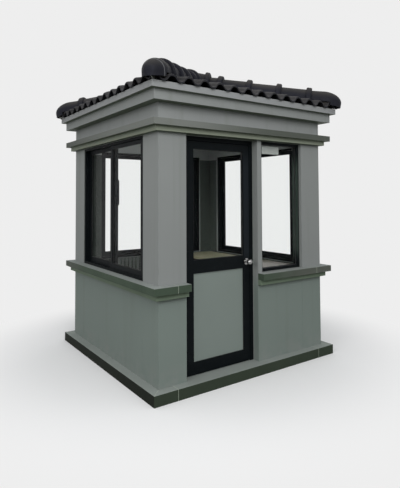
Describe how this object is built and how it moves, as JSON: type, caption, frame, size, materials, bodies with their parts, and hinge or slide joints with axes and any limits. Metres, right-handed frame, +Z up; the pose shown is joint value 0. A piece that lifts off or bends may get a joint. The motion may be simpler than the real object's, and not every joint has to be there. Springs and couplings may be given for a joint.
{
  "type": "security guard booth",
  "caption": "Square guard booth with grey panel walls, dark framed windows on every side, a half-glazed hinged door, a moulded sill and cornice, and a dark tiled hip roof.",
  "frame": {"origin": "middle of the square plan on the ground", "axes": "+X to the right along the door side, +Y from the door side to the back, +Z up"},
  "size_m": [2.16, 2.16, 2.817],
  "materials": {
    "grey_panel": "matt grey coated panel",
    "plinth_stone": "matt dark grey",
    "floor_sheet": "matt floor sheet",
    "ceiling_board": "matt ceiling board",
    "roof_tile": "dark grey coated tile",
    "clear_glass": "clear glass",
    "dark_aluminium": "satin powder coat, near black",
    "door_sheet": "satin light grey sheet",
    "stainless_steel": "polished",
    "desk_board": "laminated board"
  },
  "bodies": {
    "booth": {"apex_cap": "roof_tile", "ceiling": "ceiling_board", "cornice_back": "grey_panel", "cornice_front": "grey_panel", "cornice_left": "grey_panel", "cornice_right": "grey_panel", "desk": "desk_board", "door_frame": "dark_aluminium", "door_post": "grey_panel", "floor": "floor_sheet", "hip_tiles": "roof_tile", "lower_wall_back": "grey_panel", "lower_wall_front": "grey_panel", "lower_wall_left": "grey_panel", "lower_wall_right": "grey_panel", "pillar_back_left": "grey_panel", "pillar_back_right": "grey_panel", "pillar_front_left": "grey_panel", "pillar_front_right": "grey_panel", "plinth": "plinth_stone", "roof_back": "roof_tile", "roof_front": "roof_tile", "roof_left": "roof_tile", "roof_right": "roof_tile", "sill_back": "grey_panel", "sill_front": "grey_panel", "sill_left": "grey_panel", "sill_right": "grey_panel", "window_frame_back": "dark_aluminium", "window_frame_front": "dark_aluminium", "window_frame_left": "dark_aluminium", "window_frame_right": "dark_aluminium", "window_glass_back": "clear_glass", "window_glass_front": "clear_glass", "window_glass_left": "clear_glass", "window_glass_right": "clear_glass", "window_sashes_back": "dark_aluminium", "window_sashes_left": "dark_aluminium", "window_sashes_right": "dark_aluminium"},
    "door": {"door_leaf": "dark_aluminium", "door_glass": "clear_glass", "door_panel": "door_sheet", "door_roses": "stainless_steel"},
    "knob": {"door_knob": "stainless_steel"}
  },
  "joints": [
    {"name": "door_hinge", "type": "hinge", "parent": "booth", "child": "door", "pos_m": [-0.6075, -0.842, 1], "axis": [0, 0, -1], "range_deg": [0, 90]},
    {"name": "knob_turn", "type": "hinge", "parent": "door", "child": "knob", "pos_m": [0.011, -0.818, 0.95], "axis": [0, 1, 0], "range_deg": [-60, 60], "stiffness_Nm_per_rad": 0.3}
  ]
}
